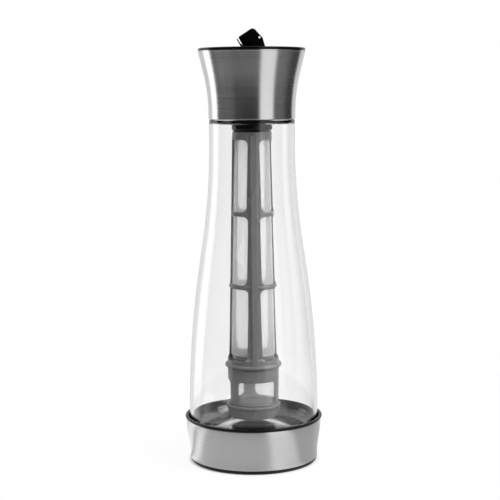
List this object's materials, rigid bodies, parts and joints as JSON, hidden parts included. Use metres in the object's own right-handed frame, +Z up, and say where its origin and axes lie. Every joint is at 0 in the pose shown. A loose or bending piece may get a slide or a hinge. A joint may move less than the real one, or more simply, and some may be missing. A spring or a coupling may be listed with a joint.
{
  "type": "cold brew coffee maker",
  "caption": "Glass cold brew carafe in a steel-banded base, with a flared steel lid, a flip pour cap and a long windowed mesh filter that hangs inside.",
  "frame": {"origin": "centre of the foot, on the surface the maker stands on", "axes": "+Z up the axis of the carafe, -Y towards the camera of the picture, +X to its right"},
  "size_m": [0.1046, 0.1046, 0.3259],
  "materials": {
    "steel_brushed": "brushed, horizontal lines",
    "steel_pin": "polished",
    "plastic_black_gloss": "glossy moulded",
    "plastic_black_matte": "satin moulded",
    "rubber_black": "matt",
    "silicone_black": "satin silicone",
    "glass_clear": "clear borosilicate",
    "plastic_grey": "satin moulded",
    "mesh_nylon": "fine woven filter mesh"
  },
  "bodies": {
    "base": {"base_plate": "plastic_black_matte", "base_foot": "rubber_black", "base_band": "steel_brushed", "base_cup": "plastic_black_gloss", "base_cushion": "silicone_black"},
    "carafe": {"carafe_glass": "glass_clear"},
    "lid": {"collar_shell": "steel_brushed", "rim_ring": "plastic_black_gloss", "lid_core": "plastic_black_gloss", "neck_seal": "silicone_black", "filter_socket": "plastic_black_matte", "hinge_pin": "steel_pin"},
    "cap": {"flip_cap": "plastic_black_gloss", "cap_seal": "silicone_black"},
    "filter": {"filter_gasket": "silicone_black", "filter_frame": "plastic_grey", "mesh_sleeve": "mesh_nylon"},
    "cage": {"cage_screen": "mesh_nylon", "filter_cage": "plastic_grey", "foot_cap": "plastic_grey"}
  },
  "joints": [
    {"name": "carafe_lift", "type": "slide", "parent": "base", "child": "carafe", "axis": [0, 0, 1], "range_m": [0, 0.06]},
    {"name": "lid_lift", "type": "slide", "parent": "carafe", "child": "lid", "axis": [0, 0, 1], "range_m": [0, 0.27]},
    {"name": "cap_flip", "type": "hinge", "parent": "lid", "child": "cap", "pos_m": [0.005, 0, 0.3031], "axis": [0, 1, 0], "range_deg": [-59, 41]},
    {"name": "filter_twist", "type": "hinge", "parent": "lid", "child": "filter", "pos_m": [0, 0, 0.26], "axis": [0, 0, 1], "range_deg": [0, 40]},
    {"name": "cage_twist", "type": "hinge", "parent": "filter", "child": "cage", "pos_m": [0, 0, 0.0755], "axis": [0, 0, 1], "range_deg": [0, 30]}
  ]
}
